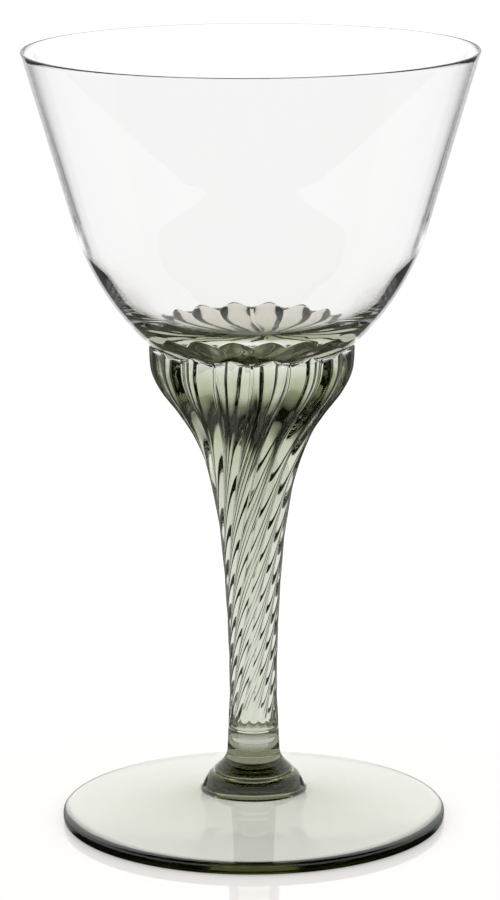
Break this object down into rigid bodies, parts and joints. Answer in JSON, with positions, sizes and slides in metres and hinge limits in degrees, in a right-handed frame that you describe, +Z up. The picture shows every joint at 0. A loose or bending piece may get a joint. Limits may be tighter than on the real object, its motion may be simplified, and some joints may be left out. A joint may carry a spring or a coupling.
{
  "type": "cocktail glass",
  "caption": "Stemmed cocktail glass: a clear flared bowl on a solid, pleated and twisted smoke glass stem with a collar and a shallow round foot. It holds a drink and stands on a table.",
  "frame": {"origin": "centre of the circle that the glass rests on, at table height", "axes": "+Z up along the stem's axis; -Y is the side that the picture shows"},
  "size_m": [0.095, 0.095, 0.1651],
  "materials": {
    "clear_glass": "clear, smooth and glossy",
    "smoke_glass": "transparent, grey-green smoke tint, smooth and glossy"
  },
  "bodies": {
    "root": {"bowl": "clear_glass", "ribbed_stem": "smoke_glass", "collar": "smoke_glass", "foot": "smoke_glass"}
  },
  "joints": []
}
